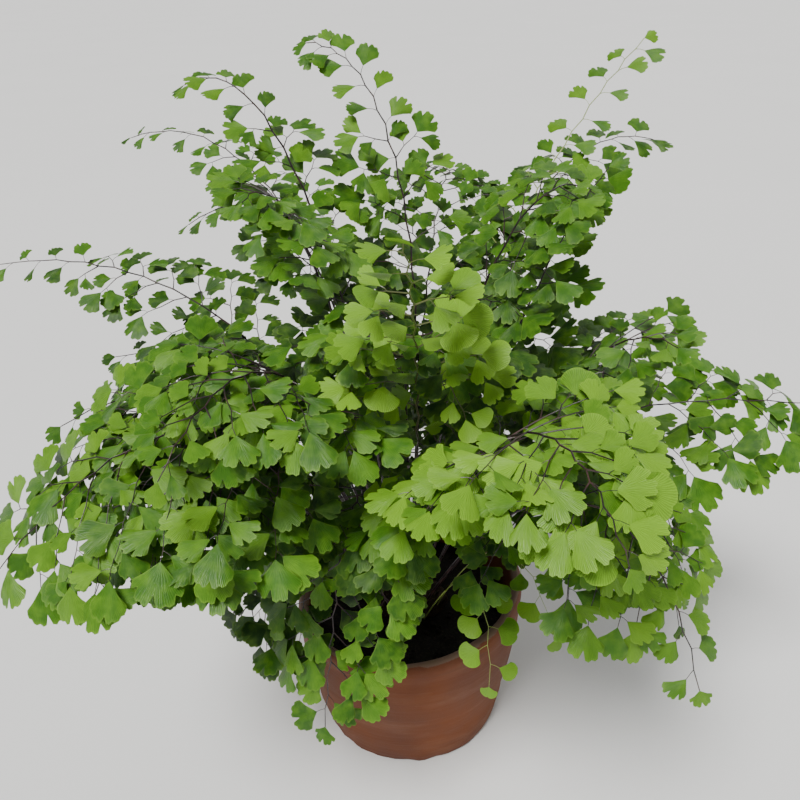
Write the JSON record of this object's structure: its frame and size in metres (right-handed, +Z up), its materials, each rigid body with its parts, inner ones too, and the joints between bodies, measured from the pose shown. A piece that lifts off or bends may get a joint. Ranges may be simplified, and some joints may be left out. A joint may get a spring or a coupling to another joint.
{
  "type": "potted maidenhair fern",
  "caption": "Maidenhair fern in a hand-thrown clay pot: fan-shaped green leaflets on wiry black stalks that arch up and out from a rhizome in dark potting soil.",
  "frame": {"origin": "centre of the pot's flat underside, on the surface that the pot stands on", "axes": "+Z up along the pot's axis; seen from the front, +X is to the right and +Y points away to the back"},
  "size_m": [0.3985, 0.3175, 0.3428],
  "materials": {
    "clay": "matte",
    "soil": "matte",
    "roots": "matte",
    "rhizome": "matte",
    "stalk": "satin",
    "leaf": "satin"
  },
  "bodies": {
    "root": {"pot": "clay", "potting_soil": "soil", "roots": "roots", "rhizome": "rhizome", "stalk_01": "stalk", "stalk_02": "stalk", "stalk_03": "stalk", "stalk_04": "stalk", "stalk_05": "stalk", "stalk_06": "stalk", "stalk_07": "stalk", "stalk_08": "stalk", "stalk_09": "stalk", "stalk_10": "stalk", "stalk_11": "stalk", "stalk_12": "stalk", "stalk_13": "stalk", "stalk_14": "stalk", "stalk_15": "stalk", "stalk_16": "stalk", "stalk_17": "stalk", "stalk_18": "stalk", "stalk_19": "stalk", "stalk_20": "stalk", "stalk_21": "stalk", "stalk_22": "stalk", "stalk_23": "stalk", "stalk_24": "stalk", "stalk_25": "stalk", "stalk_26": "stalk", "stalk_27": "stalk", "stalk_28": "stalk", "blade_01": "leaf", "blade_02": "leaf", "blade_03": "leaf", "blade_04": "leaf", "blade_05": "leaf", "blade_06": "leaf", "blade_07": "leaf", "blade_08": "leaf", "blade_09": "leaf", "blade_10": "leaf", "blade_11": "leaf", "blade_12": "leaf", "blade_13": "leaf", "blade_14": "leaf", "blade_15": "leaf", "blade_16": "leaf", "blade_17": "leaf", "blade_18": "leaf", "blade_19": "leaf", "blade_20": "leaf", "blade_21": "leaf", "blade_22": "leaf", "blade_23": "leaf", "blade_24": "leaf", "blade_25": "leaf", "blade_26": "leaf", "blade_27": "leaf", "blade_28": "leaf"}
  },
  "joints": []
}
